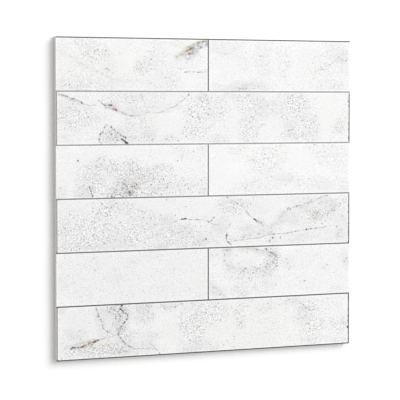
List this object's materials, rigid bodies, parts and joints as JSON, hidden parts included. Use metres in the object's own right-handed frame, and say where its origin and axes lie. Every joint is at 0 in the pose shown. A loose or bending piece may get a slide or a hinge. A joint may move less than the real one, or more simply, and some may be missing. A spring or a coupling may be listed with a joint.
{
  "type": "pvc mosaic tile",
  "caption": "Square foamed PVC wall tile with a flat back and a face pressed and printed as long white marble bricks with thin grey joints.",
  "frame": {"origin": "centre of the flat back, on the surface that the tile lies on", "axes": "+Z out of the printed face, +X along the courses to the right as printed, +Y across the courses to the top edge as hung"},
  "size_m": [0.3, 0.3, 0.008],
  "materials": {
    "printed_pvc": "satin film printed as white marble on white foamed PVC board"
  },
  "bodies": {
    "root": {"tile_panel": "printed_pvc"}
  },
  "joints": []
}
